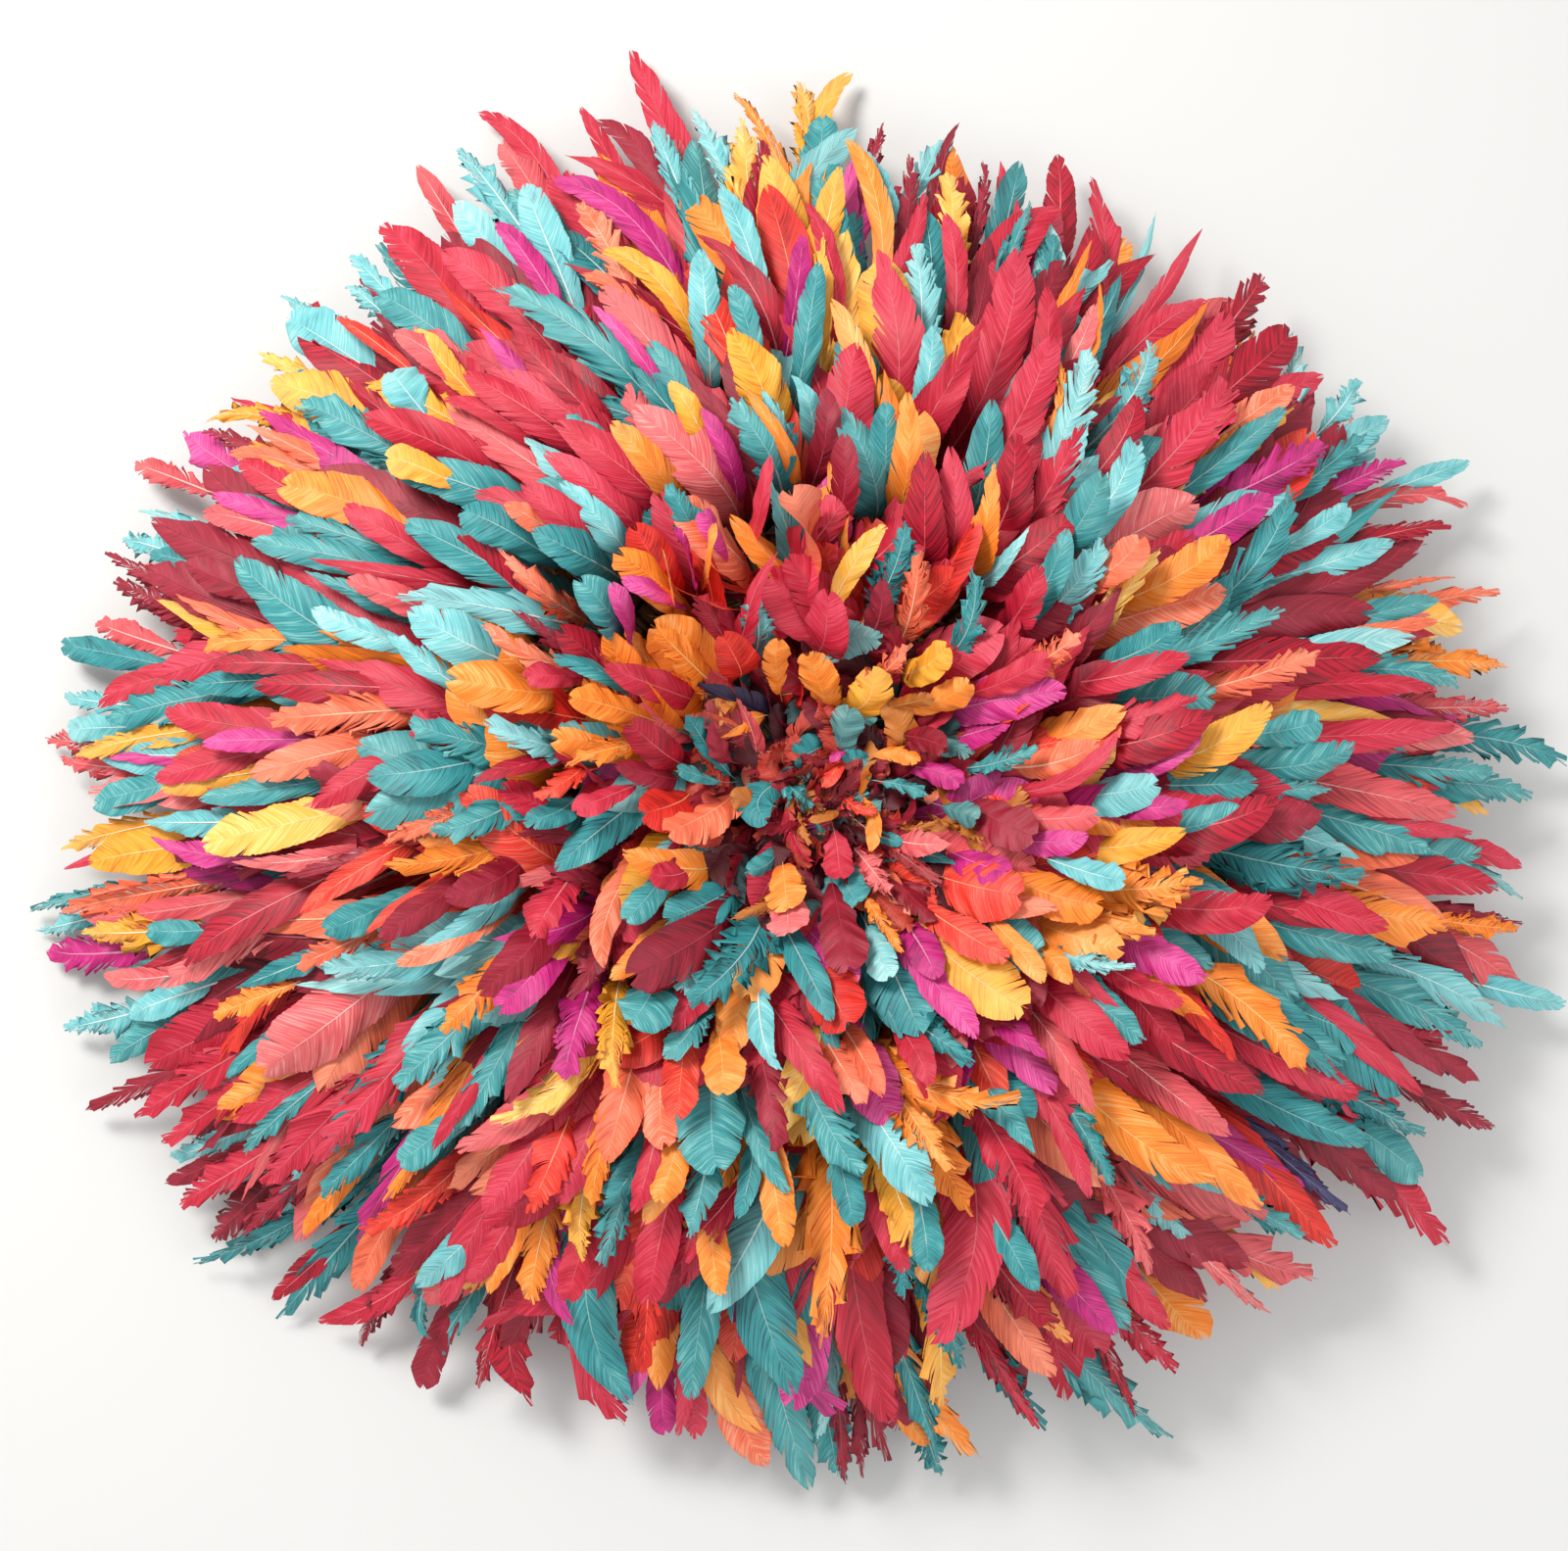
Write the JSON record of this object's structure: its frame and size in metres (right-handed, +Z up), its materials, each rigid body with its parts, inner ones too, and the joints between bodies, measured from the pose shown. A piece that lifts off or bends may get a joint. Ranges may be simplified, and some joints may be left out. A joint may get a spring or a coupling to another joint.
{
  "type": "feather juju hat",
  "caption": "Open feather juju hat: a round mound of dyed feathers in rows on a flat raffia ring, with a hollow raffia head cap in the middle.",
  "frame": {"origin": "on the surface that the hat rests on, under the middle of its outline, which is also the middle of the cap's mouth", "axes": "+Z up through the feathers, -Y towards the side shown nearest in the picture, +X to its right"},
  "size_m": [0.7609, 0.7309, 0.1563],
  "materials": {
    "raffia": "woven natural raffia, matt",
    "raffia_ring": "coiled natural raffia bound with cord, matt",
    "feathers_1": "dyed feathers, crimson with teal, orange and gold among them",
    "feathers_2": "dyed feathers, teal with crimson, orange and gold among them",
    "feathers_3": "dyed feathers, scarlet with crimson, teal and orange among them",
    "feathers_4": "dyed feathers, gold with crimson, teal and orange among them",
    "feathers_5": "dyed feathers, crimson with teal, orange and magenta among them",
    "feathers_6": "dyed feathers, magenta with crimson, teal and orange among them",
    "feathers_7": "short dyed feathers, orange with crimson, teal and scarlet among them",
    "feathers_8": "short dyed feathers, teal with crimson, orange and scarlet among them",
    "tuft_feathers": "small dyed feathers, dark crimson with teal and orange among them"
  },
  "bodies": {
    "root": {"head_cap": "raffia", "raffia_ring": "raffia_ring", "feather_row_1": "feathers_1", "feather_row_2": "feathers_2", "feather_row_3": "feathers_3", "feather_row_4": "feathers_4", "feather_row_5": "feathers_5", "feather_row_6": "feathers_6", "feather_row_7": "feathers_7", "feather_row_8": "feathers_8", "centre_tuft": "tuft_feathers"}
  },
  "joints": []
}
